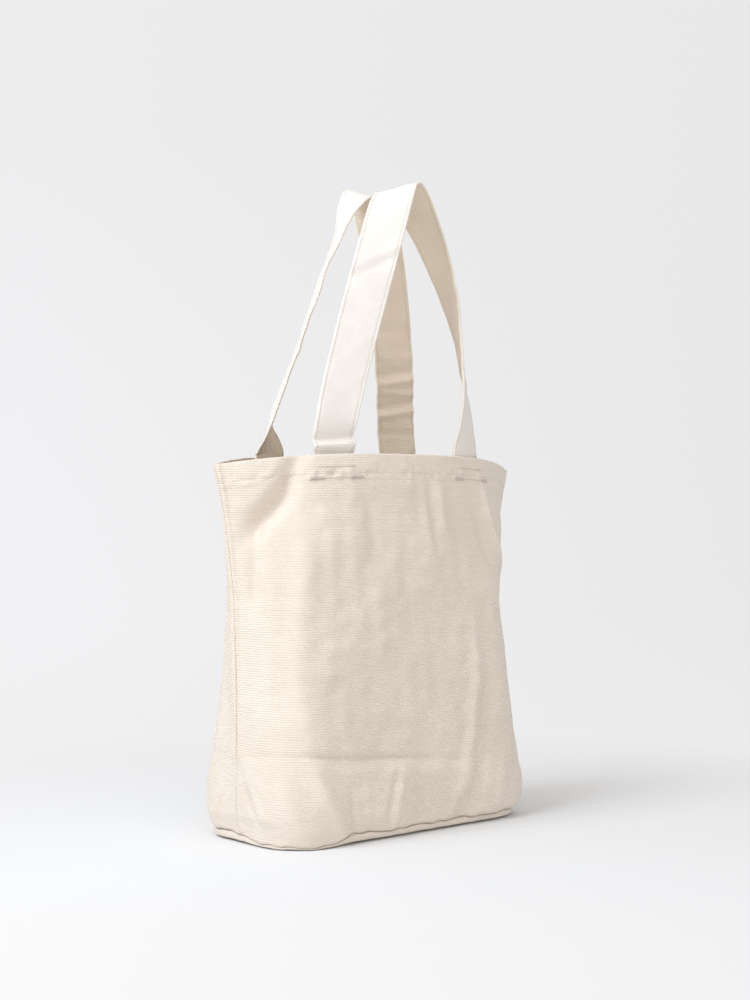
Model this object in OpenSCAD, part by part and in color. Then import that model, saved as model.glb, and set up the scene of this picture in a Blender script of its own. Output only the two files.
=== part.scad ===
// Canvas tote bag with two flat carrying straps, standing open on its base.
// Millimetres. The origin is on the floor under the middle of the bag, +Z is up,
// the mouth is widest along X, and the front panel faces -Y.

/* [Bag] */
// Height of the rim at the middle of each panel
bag_h = 340; // [300:5:380]
// How far the rim drops towards the side seams
rim_drop = 11; // [4:1:16]
// Width of the open mouth, side seam to side seam
mouth_w = 340; // [310:5:370]
// Depth of the open mouth, front to back
mouth_d = 128; // [120:2:136]
// Width of the body between the side seams at half height
waist_w = 304; // [290:2:320]
// Width across the bulge just above the base
base_w = 306; // [290:2:330]
// Depth across the bulge just above the base
base_d = 144; // [136:2:156]
// Corner radius of the base
corner_r = 45; // [35:1:55]
// Turn of the base against the rim, as the soft sides stand
base_turn = 4; // [0:1:6]

/* [Cloth] */
// Thickness of the canvas
cloth_t = 1.2; // [0.8:0.1:1.6]
// Thickness of the folded hem round the rim
hem_t = 2.8; // [2.4:0.1:3.2]
// Depth of the folded hem
hem_h = 23; // [18:1:28]
// Height of the base panel's turned-up edge
welt_h = 8; // [6:0.5:10]
// Width of the binding over the inner seams
binding_w = 11; // [8:1:14]

/* [Straps] */
// Width of a strap
strap_w = 39; // [34:1:40]
// Thickness of a strap, two layers of canvas
strap_t = 2.4; // [1.8:0.1:2.6]
// Distance of a strap's stitching from its edges
stitch_inset = 3; // [2:0.5:4]
// Length of a strap's end under the rim
end_len = 26; // [22:1:30]

/* [Thread] */
// Thickness of the sewing thread
thread_d = 0.8; // [0.6:0.1:1]
// How far a stitch stands out of the cloth
stitch_proud = 0.3; // [0.2:0.05:0.4]

/* [Hidden] */

// Colours of the natural canvas and its thread
canvas = [0.86, 0.82, 0.76];
canvas_light = [0.93, 0.90, 0.85];
thread_colour = [0.90, 0.87, 0.80];

// Shape of the body
bulge_z = 25;          // height of the widest bulge
tuck = 5;              // how far the base's edge is tucked in under the bulge
rim_power = 2.4;       // 2 is a plain arc, more squares its shoulders
rise_power = 1.8;      // how long the base's outline lasts before it turns into the rim's
seam_gap = 0.15;       // half the space between the panels at a side seam
join_gap = 0.3;        // space between pieces that are sewn face to face
columns = 48;          // facets along a panel
rows = 22;             // facets up a panel
hem_row_z = 17;        // hem stitching below the rim
hem_row_end = 0.985;   // share of a panel's half width that the hem stitching reaches
hem_step = 1;          // height over which the cloth doubles into the hem
stitch_columns = 30;   // facets of a row of stitching, for each half width of a panel
base_row_drop = 3;     // base stitching below the top of the base's turned-up edge
edge_ease = 0.5;       // how much each layer of the base steps in towards the floor

// Half widths between the side seams, from the welt up to the rim
seam_line = [
    [welt_h, base_w / 2 - tuck],
    [bulge_z, base_w / 2],
    [74, waist_w / 2 + 1],
    [130, waist_w / 2],
    [214, waist_w / 2 + 1.5],
    [250, mix(waist_w, mouth_w, 0.28) / 2],
    [284, mix(waist_w, mouth_w, 0.5) / 2],
    [312, mix(waist_w, mouth_w, 0.78) / 2],
    [bag_h - rim_drop, mouth_w / 2]
];

// Strap anchors on the rim, and where a strap leaves its sewn end
anchor_x = 76;
anchor_y = 50;
anchor_turn = 14;
fold_z = bag_h + 2;

// Route of each strap: x, y, z, then the turn and the tilt of the strap's width
front_route = [
    [-anchor_x, -anchor_y, fold_z + join_gap, -anchor_turn, 0],
    [-76, -51, 364, -14, 0],
    [-67, -49, 392, -16, 0],
    [-50, -43, 436, -20, 0],
    [-29, -37, 488, -26, 0],
    [-9, -32, 538, -32, 4],
    [5, -28, 571, -38, 9],
    [19, -21, 587, -46, 14],
    [39, -9, 587, -60, 14],
    [61, -1, 568, -76, 12],
    [79, 0, 541, -90, 8],
    [89, -8, 505, -103, 4],
    [92, -20, 464, -117, 0],
    [88, -34, 418, -129, 0],
    [84, -45, 374, -145, 0],
    [anchor_x, -anchor_y, fold_z + join_gap, -180 + anchor_turn, 0]
];
rear_route = [
    [anchor_x, anchor_y, fold_z + join_gap, 180 - anchor_turn, 0],
    [74, 51, 374, 165, 0],
    [69, 46, 416, 163, 0],
    [61, 40, 459, 160, 0],
    [49, 33, 506, 152, 0],
    [39, 31, 548, 140, 6],
    [29, 30, 571, 122, 12],
    [19, 26, 585, 101, 20],
    [6, 20, 585, 80, 23],
    [-12, 13, 568, 66, 19],
    [-29, 9, 539, 59, 12],
    [-43, 12, 507, 59, 4],
    [-54, 18, 470, 59, 0],
    [-63, 30, 430, 60, 0],
    [-72, 38, 398, 60, 0],
    [-79, 45, 368, 56, 0],
    [-anchor_x, anchor_y, fold_z + join_gap, anchor_turn, 0]
];
route_steps = 3;       // sections between two points of a route

// Stitching that anchors a strap to the hem
anchor_row_w = 48;     // length of the row under a strap
anchor_row_z = 21;     // depth of the row below the rim
anchor_upper_z = 11;   // depth of the upper row
tack_w = 12;           // length of a bar tack
tack_h = 2.4;          // height of a bar tack

// ---- Plain functions ----

function mix(a, b, k) = a * (1 - k) + b * k;
function unit(v) = v / norm(v);
function turned(p, a) = [p.x * cos(a) - p.y * sin(a), p.x * sin(a) + p.y * cos(a)];

// ---- Outline of the body at any height ----
// u runs from -1 at the left side seam to 1 at the right one.

function rim_z(u) = bag_h - rim_drop * pow(abs(u), 3);

function rim_outline(u) = [mouth_w / 2 * u, -mouth_d / 2 * (1 - pow(abs(u), rim_power))];

// Half of a rounded rectangle of half sizes a and b and corner radius r
function base_outline(u, a, b, r) =
    let(
        side = a - r,
        arc = PI / 2 * r,
        s = abs(u) * (side + arc + b - r),
        turn = (s - side) / r * 180 / PI
    )
    s < side ? [sign(u) * s, -b]
    : s < side + arc ? [sign(u) * (side + r * sin(turn)), -(b - r) - r * cos(turn)]
    : [sign(u) * a, s - side - arc - (b - r)];

// 1 from the floor up to the bulge, 0 at the rim
function base_share(z) = 1 - pow(max(0, min(1, (z - bulge_z) / (bag_h - bulge_z))), rise_power);

function tuck_in(z) = tuck * pow(max(0, (bulge_z - z) / bulge_z), 2);

// Outline of a panel at height z, before the base's turn
function panel_outline(u, z) =
    let(
        k = base_share(z),
        base = base_outline(u, base_w / 2, base_d / 2, corner_r),
        p = rim_outline(u) * (1 - k) + base * k,
        x_scale = lookup(z, seam_line) / mix(mouth_w / 2, base_w / 2, k),
        y_scale = 1 - tuck_in(z) / (base_d / 2)
    )
    [p.x * x_scale, p.y * y_scale];

// A point on a panel, depth below its outer face
function panel_point(u, z, depth) =
    let(
        step = 0.004,
        along = panel_outline(min(1, u + step), z) - panel_outline(max(-1, u - step), z),
        inward = unit([-along.y, along.x]),
        p = panel_outline(u, z) + inward * depth,
        q = turned([p.x, min(p.y, -seam_gap)], base_turn * base_share(z))
    )
    [q.x, q.y, z];

// ---- Closed shells from a grid ----
// face_a and face_b are the two faces of a sheet, each a list of rows of points.

function flat_list(nested) = [for (row = nested) each row];

function grid_faces(row_count, column_count) =
    let(
        w = column_count + 1,
        n = w * (row_count + 1)
    )
    [
        for (j = [0 : row_count - 1], i = [0 : column_count - 1])
            let(p = j * w + i)
            each [
                [p, p + w, p + 1],
                [p + 1, p + w, p + w + 1],
                [n + p, n + p + 1, n + p + w],
                [n + p + 1, n + p + w + 1, n + p + w]
            ],
        for (i = [0 : column_count - 1])
            let(q = row_count * w + i)
            each [
                [i, i + 1, n + i],
                [i + 1, n + i + 1, n + i],
                [q, n + q, q + 1],
                [q + 1, n + q, n + q + 1]
            ],
        for (j = [0 : row_count - 1])
            let(
                p = j * w,
                q = j * w + column_count
            )
            each [
                [p, n + p, p + w],
                [p + w, n + p, n + p + w],
                [q, q + w, n + q],
                [q + w, n + q + w, n + q]
            ]
    ];

module sheet_solid(face_a, face_b) {
    polyhedron(
        points = concat(flat_list(face_a), flat_list(face_b)),
        faces = grid_faces(len(face_a) - 1, len(face_a[0]) - 1)
    );
}

// Heights of a panel's rows: even up to the hem, then a step to its double thickness
function row_height(u, j) =
    let(
        top = rim_z(u),
        hem_low = top - hem_h,
        body_rows = rows - 3
    )
    j <= body_rows ? mix(welt_h + join_gap, hem_low, j / body_rows)
    : j == body_rows + 1 ? hem_low + hem_step
    : j == body_rows + 2 ? (hem_low + top) / 2
    : top;

module panel_shell() {
    us = [for (i = [0 : columns]) 2 * i / columns - 1];
    outer = [for (j = [0 : rows]) [for (u = us) panel_point(u, row_height(u, j), 0)]];
    inner = [
        for (j = [0 : rows])
            [for (u = us) panel_point(u, row_height(u, j), j > rows - 3 ? hem_t : cloth_t)]
    ];
    sheet_solid(outer, inner);
}

module half_turn() {
    rotate([0, 0, 180]) children();
}

module front_panel() {
    color(canvas) panel_shell();
}

module back_panel() {
    color(canvas) half_turn() panel_shell();
}

// ---- Base ----

// Rounded rectangle from plain shapes, so that its faces stay exact
module rounded_plate(a, b, r, h) {
    linear_extrude(h) {
        square([2 * a, 2 * (b - r)], center = true);
        square([2 * (a - r), 2 * b], center = true);
        for (sx = [-1, 1], sy = [-1, 1])
            translate([sx * (a - r), sy * (b - r)]) circle(r, $fn = 64);
    }
}

base_a = base_w / 2 - tuck;
base_b = base_d / 2 - tuck_in(welt_h);
base_r = corner_r - tuck / 2;

module base_ring(outset, width, z0, z1) {
    translate([0, 0, z0])
        difference() {
            rounded_plate(base_a + outset, base_b + outset, base_r + outset, z1 - z0);
            translate([0, 0, -1])
                rounded_plate(
                    base_a + outset - width, base_b + outset - width, base_r + outset - width, z1 - z0 + 2
                );
        }
}

// One layer of the base's cloth, drawn in from the edge by inset
module base_layer(inset) {
    rounded_plate(base_a - inset, base_b - inset, base_r - inset, cloth_t);
}

module base_panel() {
    color(canvas)
        rotate([0, 0, base_turn]) {
            base_layer(3 * edge_ease);
            translate([0, 0, cloth_t]) base_layer(edge_ease);
            base_ring(0, cloth_t * 2, cloth_t * 2, welt_h);
        }
}

// Binding round the inner base seam
module base_seam_binding() {
    color(canvas_light)
        rotate([0, 0, base_turn])
            base_ring(-cloth_t * 2 - join_gap, cloth_t, 2 * cloth_t + join_gap, welt_h + binding_w / 2);
}

module base_seam_stitching() {
    color(thread_colour)
        rotate([0, 0, base_turn])
            base_ring(
                -cloth_t * 2 - join_gap + stitch_proud, cloth_t + 2 * stitch_proud,
                welt_h - base_row_drop - thread_d, welt_h - base_row_drop
            );
}

// ---- Bindings over the inner side seams ----

// The binding stands off the seam further up, where the panels close to a point
binding_start = [[welt_h, 2], [bag_h / 2, 3], [bag_h, 6.5]];
binding_rows = 14;

function binding_point(side, out, z, y) =
    let(
        x = lookup(z, seam_line) - lookup(z, binding_start) - out,
        q = turned([side * x, y], base_turn * base_share(z))
    )
    [q.x, q.y, z];

module seam_binding(side) {
    z0 = welt_h + binding_w;
    z1 = bag_h - rim_drop - hem_h - cloth_t;
    heights = [for (j = [0 : binding_rows]) mix(z0, z1, j / binding_rows)];
    face_a = [for (z = heights) [for (out = [0, binding_w]) binding_point(side, out, z, -side * cloth_t)]];
    face_b = [for (z = heights) [for (out = [0, binding_w]) binding_point(side, out, z, side * cloth_t)]];
    sheet_solid(face_b, face_a);
}

module left_seam_binding() {
    color(canvas_light) seam_binding(-1);
}

module right_seam_binding() {
    color(canvas_light) seam_binding(1);
}

// ---- Straps ----

// Smooth curve through the points of a route, and a little of each section between them
function spline(p0, p1, p2, p3, t) =
    0.5 * (2 * p1 + (p2 - p0) * t + (2 * p0 - 5 * p1 + 4 * p2 - p3) * t * t
        + (3 * p1 - p0 - 3 * p2 + p3) * t * t * t);

function smooth_route(route) =
    let(last = len(route) - 1)
    [
        for (i = [0 : last - 1], k = [0 : route_steps - 1])
            spline(
                i == 0 ? 2 * route[0] - route[1] : route[i - 1],
                route[i], route[i + 1],
                i + 2 > last ? 2 * route[last] - route[last - 1] : route[i + 2],
                k / route_steps
            ),
        route[last]
    ];

function place(s) = [s[0], s[1], s[2]];

function route_ahead(points, i) =
    let(last = len(points) - 1)
    i == 0 || i == last ? [0, 0, i == 0 ? 1 : -1]
    : unit(place(points[i + 1]) - place(points[i - 1]));

// Width and face directions of a strap at a section
function width_way(s, ahead) =
    let(h = [cos(s[3]), sin(s[3]), tan(s[4])])
    unit(h - (h * ahead) * ahead);

// A flat ribbon along a route, w wide and t thick, shifted sideways across its width
module ribbon(route, w, t, shift = 0) {
    points = smooth_route(route);
    sections = [
        for (i = [0 : len(points) - 1])
            let(
                ahead = route_ahead(points, i),
                h = width_way(points[i], ahead),
                n = cross(h, ahead),
                c = place(points[i]) + h * shift
            )
            [
                c - h * w / 2 + n * t / 2,
                c + h * w / 2 + n * t / 2,
                c - h * w / 2 - n * t / 2,
                c + h * w / 2 - n * t / 2
            ]
    ];
    sheet_solid([for (s = sections) [s[0], s[1]]], [for (s = sections) [s[2], s[3]]]);
}

module front_strap() {
    color(canvas_light) ribbon(front_route, strap_w, strap_t);
}

module rear_strap() {
    color(canvas_light) ribbon(rear_route, strap_w, strap_t);
}

module edge_stitching(route) {
    for (side = [-1, 1])
        ribbon(route, thread_d, strap_t + 2 * stitch_proud, side * (strap_w / 2 - stitch_inset));
}

module front_strap_edge_stitching() {
    color(thread_colour) edge_stitching(front_route);
}

module rear_strap_edge_stitching() {
    color(thread_colour) edge_stitching(rear_route);
}

// Sewn end of a strap, flat against the inside of the hem
module strap_end(sx) {
    translate([sx * anchor_x, -anchor_y, fold_z - end_len / 2])
        rotate([0, 0, sx * anchor_turn])
            cube([strap_w, strap_t, end_len], center = true);
}

module front_strap_left_end() {
    color(canvas_light) strap_end(-1);
}

module front_strap_right_end() {
    color(canvas_light) strap_end(1);
}

module rear_strap_left_end() {
    color(canvas_light) half_turn() strap_end(1);
}

module rear_strap_right_end() {
    color(canvas_light) half_turn() strap_end(-1);
}

// ---- Stitching through the hem ----

// A row of stitching through a panel's hem, from u0 to u1, at a depth below the rim
module hem_row(u0, u1, below, height, inner_depth) {
    steps = max(4, ceil((u1 - u0) * stitch_columns));
    us = [for (i = [0 : steps]) mix(u0, u1, i / steps)];
    lows = [-height / 2, height / 2];
    outer = [for (dz = lows) [for (u = us) panel_point(u, rim_z(u) - below + dz, -stitch_proud)]];
    inner = [for (dz = lows) [for (u = us) panel_point(u, rim_z(u) - below + dz, inner_depth)]];
    sheet_solid(outer, inner);
}

module hem_stitching() {
    hem_row(-hem_row_end, hem_row_end, hem_row_z, thread_d, hem_t + stitch_proud);
}

// Two rows across a strap's end, the lower one closed by a bar tack at each side
module anchor_stitching(sx) {
    mid = sx * anchor_x / (mouth_w / 2);
    half = anchor_row_w / mouth_w;
    tack = tack_w / (mouth_w / 2);
    tack_end = tack * 0.98;
    through = hem_t + strap_t + 2 * stitch_proud;
    hem_row(mid - half + tack, mid + half - tack, anchor_row_z, thread_d, through);
    hem_row(mid - half + tack, mid + half - tack, anchor_upper_z, thread_d, through);
    hem_row(mid - half, mid - half + tack_end, anchor_row_z, tack_h, through);
    hem_row(mid + half - tack_end, mid + half, anchor_row_z, tack_h, through);
}

module front_hem_stitching() {
    color(thread_colour) hem_stitching();
}

module back_hem_stitching() {
    color(thread_colour) half_turn() hem_stitching();
}

module front_left_anchor_stitching() {
    color(thread_colour) anchor_stitching(-1);
}

module front_right_anchor_stitching() {
    color(thread_colour) anchor_stitching(1);
}

module rear_left_anchor_stitching() {
    color(thread_colour) half_turn() anchor_stitching(1);
}

module rear_right_anchor_stitching() {
    color(thread_colour) half_turn() anchor_stitching(-1);
}

front_panel();
back_panel();
base_panel();
left_seam_binding();
right_seam_binding();
base_seam_binding();
front_strap();
rear_strap();
front_strap_left_end();
front_strap_right_end();
rear_strap_left_end();
rear_strap_right_end();
front_strap_edge_stitching();
rear_strap_edge_stitching();
front_hem_stitching();
back_hem_stitching();
front_left_anchor_stitching();
front_right_anchor_stitching();
rear_left_anchor_stitching();
rear_right_anchor_stitching();
base_seam_stitching();
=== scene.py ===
import math

import bpy
import numpy as np
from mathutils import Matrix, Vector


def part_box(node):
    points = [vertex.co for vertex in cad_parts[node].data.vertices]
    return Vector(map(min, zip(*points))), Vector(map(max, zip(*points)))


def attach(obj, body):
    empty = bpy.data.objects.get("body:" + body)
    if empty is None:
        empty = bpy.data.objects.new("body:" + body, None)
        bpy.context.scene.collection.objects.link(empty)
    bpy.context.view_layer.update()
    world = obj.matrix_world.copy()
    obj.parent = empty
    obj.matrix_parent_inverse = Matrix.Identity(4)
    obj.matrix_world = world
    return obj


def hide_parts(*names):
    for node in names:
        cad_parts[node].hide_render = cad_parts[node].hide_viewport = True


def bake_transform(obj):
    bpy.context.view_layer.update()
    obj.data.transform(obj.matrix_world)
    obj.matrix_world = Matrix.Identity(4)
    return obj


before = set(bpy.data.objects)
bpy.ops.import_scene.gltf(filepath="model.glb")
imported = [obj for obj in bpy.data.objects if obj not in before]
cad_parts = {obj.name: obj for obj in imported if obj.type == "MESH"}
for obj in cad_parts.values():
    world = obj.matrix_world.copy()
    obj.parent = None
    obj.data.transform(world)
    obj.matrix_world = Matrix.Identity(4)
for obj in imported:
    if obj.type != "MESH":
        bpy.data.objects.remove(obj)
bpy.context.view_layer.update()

MM = 0.001

# ---- Sizes, in metres, with z up and the front panel facing -Y ----

panel_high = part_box("front_panel")[1]
BAG_H = panel_high.z  # rim at the middle of a panel
MOUTH_W = 2 * panel_high.x  # rim, side seam to side seam
MOUTH_D = 0.128
RIM_DROP = 0.011  # how much lower the rim is at the side seams
WAIST_W = 0.304
BASE_W, BASE_D = 0.306, 0.144
CORNER_R = 0.045
BASE_TURN = math.radians(4)
BULGE_Z = 0.025  # height of the widest part above the base
TUCK = 0.005  # how far the foot is drawn in under it
RIM_POWER = 2.4  # how full the rim's outline is
RISE_POWER = 1.8  # how long the base's outline lasts up the sides
WELT_H = 0.008
PANEL_FOOT = WELT_H + 0.0003
CLOTH_T = 0.0012
HEM_T = 0.0028
HEM_H = 0.023
HEM_ROW = 0.017  # hem stitching below the rim
HEM_ROW_END = 0.985  # share of a panel's half width that it reaches
SEAM_GAP = 0.00008  # how far each panel stays off the middle of a side seam
HALF_ARC = 0.205  # half the width of a panel along the cloth
SIDE_SEAM_Z, SIDE_SEAM_RISE = 0.066, 0.012  # where the side seams begin, and over what height
MOUTH_REACH, REACH_X = 0.0045, 0.17  # how far the right end of the mouth stands out
REACH_Z, REACH_RISE = 0.235, 0.05

STRAP_W = 0.039
STRAP_T = 0.0024
STITCH_INSET = 0.003
ANCHOR_X = 0.076
ANCHOR_ROW_W = 0.048
ANCHOR_LOW, ANCHOR_HIGH = 0.021, 0.011  # the two anchor rows below the rim
ANCHOR_PITCH, ANCHOR_STITCH = 0.0026, 0.0023
TACK_W, TACK_H = 0.012, 0.0024
TACK_STROKES, TACK_LEAN = 22, 0.0016  # zigzag strokes of a bar tack, and how far they lean
STRAP_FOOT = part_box("front_strap_left_end")[0].z

# Half width of the body at the side seams, by height
SEAM_Z = [WELT_H, BULGE_Z, 0.074, 0.130, 0.214, 0.250, 0.284, 0.312, BAG_H - RIM_DROP]
SEAM_X = [
    BASE_W / 2 - TUCK,
    BASE_W / 2,
    WAIST_W / 2 + 0.001,
    WAIST_W / 2,
    WAIST_W / 2 + 0.0015,
    (0.72 * WAIST_W + 0.28 * MOUTH_W) / 2,
    (0.50 * WAIST_W + 0.50 * MOUTH_W) / 2,
    (0.22 * WAIST_W + 0.78 * MOUTH_W) / 2,
    MOUTH_W / 2,
]

# Routes of the straps: x, y, z in millimetres, then turn and tilt in degrees
FRONT_ROUTE = [
    (-76, -50, 342.3, -14, 0), (-76, -51, 364, -14, 0), (-67, -49, 392, -16, 0),
    (-50, -43, 436, -20, 0), (-29, -37, 488, -26, 0), (-9, -32, 538, -32, 4),
    (5, -28, 571, -38, 9), (19, -21, 587, -46, 14), (39, -9, 587, -60, 14),
    (61, -1, 568, -76, 12), (79, 0, 541, -90, 8), (89, -8, 505, -103, 4),
    (92, -20, 464, -117, 0), (88, -34, 418, -129, 0), (84, -45, 374, -145, 0),
    (76, -50, 342.3, -166, 0),
]
REAR_ROUTE = [
    (76, 50, 342.3, 166, 0), (74, 51, 374, 165, 0), (69, 46, 416, 163, 0),
    (61, 40, 459, 160, 0), (49, 33, 506, 152, 0), (39, 31, 548, 140, 6),
    (29, 30, 571, 122, 12), (19, 26, 585, 101, 20), (6, 20, 585, 80, 23),
    (-12, 13, 568, 66, 19), (-29, 9, 539, 59, 12), (-43, 12, 507, 59, 4),
    (-54, 18, 470, 59, 0), (-63, 30, 430, 60, 0), (-72, 38, 398, 60, 0),
    (-79, 45, 368, 56, 0), (-76, 50, 342.3, 14, 0),
]


# ---- Smooth random values ----

def ripple(x, y, length, seed, waves=22):
    """Smooth noise of about unit height over two coordinates, in waves about length long."""
    rng = np.random.RandomState(seed)
    total = np.zeros(np.broadcast(x, y).shape)
    for _ in range(waves):
        angle = rng.uniform(0, math.pi)
        pitch = length * rng.uniform(0.7, 1.6)
        phase = rng.uniform(0, 2 * math.pi)
        total += np.sin((x * math.cos(angle) + y * math.sin(angle)) * 2 * math.pi / pitch + phase)
    return total / math.sqrt(waves / 2)


def hump(x, centre, width):
    """A soft bump of height 1."""
    return np.exp(-(((x - centre) / width) ** 2))


def smooth(x):
    """An even step from 0 at 0 to 1 at 1."""
    t = np.clip(x, 0, 1)
    return t * t * (3 - 2 * t)


# ---- Shape of the body ----

def rim_z(u):
    """Height of the rim, a little lower towards the side seams."""
    return BAG_H - RIM_DROP * np.abs(u) ** 3


def base_outline(u):
    """The front half of an oblong with round corners, for u from -1 to 1."""
    a, b, r = BASE_W / 2, BASE_D / 2, CORNER_R
    side, arc = a - r, math.pi / 2 * r
    s = np.abs(u) * (side + arc + b - r)
    turn = np.clip((s - side) / r, 0, math.pi / 2)
    x = np.where(s < side, s, np.where(s < side + arc, side + r * np.sin(turn), a))
    corner_y = np.where(s < side + arc, r - b - r * np.cos(turn), s - side - arc - b + r)
    y = np.where(s < side, -b, corner_y)
    return np.sign(u) * x, y


def base_share(z):
    """How much of the base's outline is left at a height."""
    return 1 - np.clip((z - BULGE_Z) / (BAG_H - BULGE_Z), 0, 1) ** RISE_POWER


def panel_outline(u, z):
    """A panel's smooth face: u runs from -1 to 1 between its side seams."""
    k = base_share(z)
    bx, by = base_outline(u)
    x = MOUTH_W / 2 * u * (1 - k) + bx * k
    y = -MOUTH_D / 2 * (1 - np.abs(u) ** RIM_POWER) * (1 - k) + by * k
    x = x * np.interp(z, SEAM_Z, SEAM_X) / (MOUTH_W / 2 * (1 - k) + BASE_W / 2 * k)
    y = y * (1 - TUCK * np.clip((BULGE_Z - z) / BULGE_Z, 0, 1) ** 2 / (BASE_D / 2))
    return x, y


def side_reach(x, z):
    """The stiff hem holds the right end of the mouth a little further out."""
    return x + MOUTH_REACH * smooth(x / REACH_X) ** 3 * smooth((z - REACH_Z) / REACH_RISE)


def seam_share(z):
    """0 in the boxed foot of the bag, and 1 where the two panels meet in a side seam."""
    return smooth((z - SIDE_SEAM_Z) / SIDE_SEAM_RISE)


def turned(x, y, z):
    """The base stands a little turned against the rim."""
    a = BASE_TURN * base_share(z)
    return x * np.cos(a) - y * np.sin(a), x * np.sin(a) + y * np.cos(a)


def panel_place(u, z, out=0.0, back=False):
    """A point of a panel, moved out from its smooth face, and the face's outward way."""
    step = 0.004
    x1, y1 = panel_outline(np.minimum(u + step, 1), z)
    x0, y0 = panel_outline(np.maximum(u - step, -1), z)
    length = np.hypot(x1 - x0, y1 - y0)
    nx, ny = (y1 - y0) / length, -(x1 - x0) / length
    x, y = panel_outline(u, z)
    gap = 0.1 * SEAM_GAP + 0.9 * SEAM_GAP * seam_share(z)
    x, y = turned(x + nx * out, np.minimum(y + ny * out, -gap), z)
    nx, ny = turned(nx, ny, z)
    flip = -1 if back else 1
    place = np.stack(np.broadcast_arrays(side_reach(flip * x, z), flip * y, z), -1)
    way = np.stack(np.broadcast_arrays(flip * nx, flip * ny, 0 * nx), -1)
    return place, way


# ---- Folds of the cloth ----
# Each fold: height in mm, half width in mm, then its line as (share of a panel's half width, z in mm)

FRONT_FOLDS = [
    (-14, 9.5, [(-.57, 356), (-.65, 333), (-.72, 304), (-.80, 287), (-.885, 273), (-.95, 258)]),
    (3.4, 9, [(-.83, 345), (-.88, 325), (-.94, 305)]),
    (-3.0, 17, [(-.56, 335), (-.64, 300), (-.74, 272)]),
    (-6.0, 7, [(-.85, 284), (-.87, 262), (-.885, 235), (-.90, 200)]),
    (2.2, 15, [(-.80, 255), (-.81, 200), (-.83, 120)]),
    (3.2, 12, [(-.645, 300), (-.635, 246), (-.65, 212), (-.675, 169), (-.665, 127), (-.62, 93), (-.61, 76)]),
    (4.4, 8, [(-.61, 76), (-.575, 52), (-.52, 34), (-.45, 14), (-.43, 6)]),
    (-3.0, 3, [(-.41, 44), (-.39, 26), (-.385, 6)]),
    (2.0, 9, [(-.74, 60), (-.72, 34), (-.66, 12)]),
    (-1.2, 10, [(-.30, 255), (-.33, 190), (-.30, 120)]),
    (-3.6, 2.4, [(-.66, 80), (-.58, 79), (-.425, 76), (-.125, 71), (.08, 67)]),
    (-0.9, 2.6, [(-.995, 73), (-.93, 76), (-.80, 79), (-.62, 80)]),
    (0.9, 3.0, [(-.96, 69), (-.86, 72)]),
    (-1.2, 3.0, [(.02, 68), (.20, 64), (.34, 62)]),
    (2.4, 6, [(-.60, 69), (-.425, 65), (-.125, 60), (.125, 57), (.36, 52)]),
    (-3.2, 3.5, [(-1.0, 75), (-.95, 52), (-.88, 26), (-.86, 12)]),
    (3.4, 9, [(-.93, 66), (-.86, 45), (-.78, 20)]),
    (-1.6, 5, [(-.90, 60), (-.83, 40), (-.76, 24)]),
    (4.2, 5, [(.505, 325), (.56, 285), (.64, 255), (.74, 232)]),
    (-2.4, 7, [(.43, 305), (.50, 262), (.60, 225)]),
    (-2.6, 10, [(.80, 330), (.86, 290), (.92, 255)]),
    (4.6, 8, [(.37, 190), (.375, 160), (.365, 133), (.32, 83), (.24, 36), (.19, 8)]),
    (-3.4, 6, [(.46, 155), (.445, 133), (.40, 83), (.32, 36), (.28, 8)]),
    (2.0, 6, [(.52, 64), (.48, 12)]),
    (-1.6, 5, [(.62, 60), (.60, 12)]),
    (2.2, 5, [(-.11, 66), (-.16, 8)]),
    (-2.3, 4, [(-.155, 62), (-.21, 8)]),
    (1.6, 5, [(-.33, 58), (-.30, 10)]),
    (-2.6, 6, [(.10, 322), (.13, 282), (.15, 246)]),
    (1.9, 6, [(.17, 316), (.21, 270)]),
    (-1.7, 9, [(-.30, 322), (-.28, 280), (-.25, 235)]),
    (0.8, 11, [(-.52, 318), (-.53, 280), (-.53, 230)]),
    (-1.2, 10, [(-.43, 310), (-.43, 240), (-.44, 165)]),
    (-1.3, 14, [(.10, 215), (-.02, 150), (-.08, 100)]),
    (-2.4, 3.5, [(1.0, 74), (.95, 52), (.88, 26), (.86, 12)]),
    (2.4, 8, [(.93, 62), (.88, 40), (.86, 22)]),
]
BACK_FOLDS = [
    (-4.5, 10, [(.68, 337), (.78, 315), (.90, 290), (.985, 270)]),
    (2.0, 9, [(.62, 320), (.74, 290), (.86, 250)]),
    (-2.6, 10, [(.90, 250), (.86, 200), (.88, 150), (.92, 110)]),
    (2.2, 13, [(.60, 290), (.64, 210), (.62, 130), (.66, 20)]),
    (-2.3, 2.4, [(.995, 71), (.85, 77), (.55, 75), (.20, 73), (-.20, 76), (-.60, 73), (-.99, 71)]),
    (1.6, 6, [(.66, 68), (.20, 63), (-.20, 66), (-.60, 63)]),
    (-3.6, 4.5, [(1.0, 74), (.955, 55), (.90, 34), (.87, 12)]),
    (2.6, 9, [(.95, 60), (.88, 34), (.82, 14)]),
    (-2.2, 4, [(-1.0, 74), (-.95, 52), (-.88, 26), (-.86, 12)]),
    (2.4, 9, [(-.93, 62), (-.86, 40), (-.80, 16)]),
    (-3.5, 10, [(-.66, 335), (-.76, 312), (-.88, 288), (-.97, 262)]),
    (2.4, 12, [(-.62, 300), (-.66, 220), (-.62, 140), (-.64, 20)]),
    (-2.2, 16, [(-.30, 300), (-.12, 230), (.06, 150)]),
    (2.0, 12, [(-.16, 300), (.02, 235), (.18, 160)]),
    (-1.6, 11, [(.34, 290), (.28, 220), (.36, 150)]),
    (2.4, 10, [(-.34, 120), (-.26, 70), (-.22, 12)]),
    (-2.0, 8, [(-.42, 90), (-.36, 40), (-.34, 12)]),
    (1.5, 5, [(.14, 56), (.17, 10)]),
    (-1.2, 5, [(.05, 50), (.06, 12)]),
]

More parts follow.
